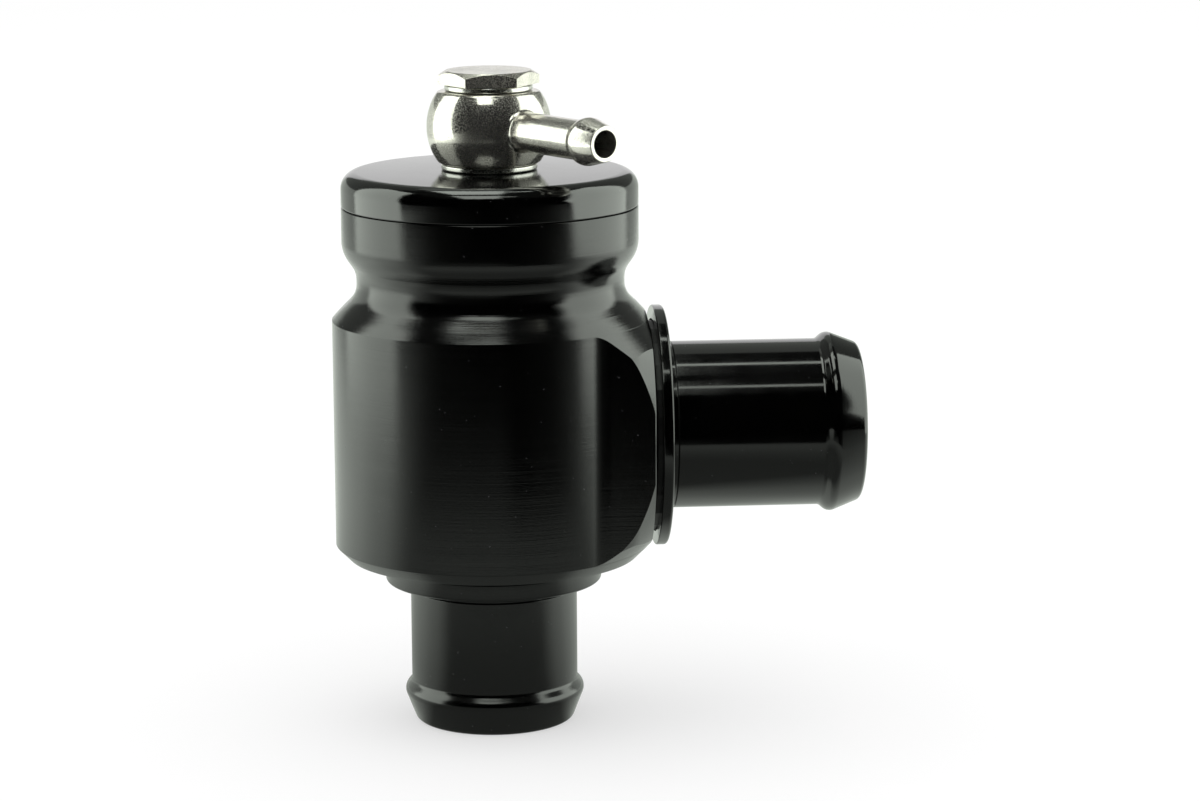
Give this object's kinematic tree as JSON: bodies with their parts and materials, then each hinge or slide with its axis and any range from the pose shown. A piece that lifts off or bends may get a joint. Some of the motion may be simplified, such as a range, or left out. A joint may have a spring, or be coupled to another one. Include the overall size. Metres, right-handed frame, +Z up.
{
  "type": "diverter valve",
  "caption": "Piston diverter valve: black turned body on a beaded hose tail, side hose tail with flange, screwed cap, and a bright banjo fitting with barbed nipple on top.",
  "frame": {"origin": "middle of the base, on the floor plane of the inlet tail's end", "axes": "+Z up along the valve axis, +X along the outlet tail, so that the inlet tail's end faces -Z"},
  "size_m": [0.0786, 0.0484, 0.098],
  "materials": {
    "body_anodised": "black anodised, satin turned surface",
    "cap_anodised": "black anodised, glossier",
    "tail_anodised": "black anodised, glossier",
    "seal_rubber": "black nitrile, dull",
    "piston_brass": "turned",
    "guide_plastic": "cut band",
    "spring_steel": "drawn wire and strip",
    "bright_plate": "bright nickel plate, slightly grainy"
  },
  "bodies": {
    "valve": {"valve_body": "body_anodised", "cap": "cap_anodised", "cap_o_ring": "seal_rubber", "inlet_hose_tail": "tail_anodised", "inlet_tail_o_ring": "seal_rubber", "outlet_hose_tail": "tail_anodised", "outlet_tail_o_ring": "seal_rubber", "return_spring": "spring_steel", "banjo_bolt": "bright_plate", "banjo_upper_washer": "bright_plate", "banjo_lower_washer": "bright_plate"},
    "piston_group": {"piston": "piston_brass", "piston_upper_o_ring": "seal_rubber", "piston_lower_o_ring": "seal_rubber", "piston_guide_ring": "guide_plastic", "piston_nose_seal": "seal_rubber", "preload_shim": "spring_steel"},
    "banjo": {"banjo_fitting": "bright_plate"}
  },
  "joints": [
    {"name": "piston_travel", "type": "slide", "parent": "valve", "child": "piston_group", "axis": [0, 0, 1], "range_m": [0, 0.009], "stiffness_N_per_m": 1100, "springref_m": -0.009, "deforming": ["return_spring"]},
    {"name": "banjo_swivel", "type": "hinge", "parent": "valve", "child": "banjo", "pos_m": [-0.0157, 0.00063, 0.0897], "axis": [0, 0, 1], "continuous": true}
  ]
}
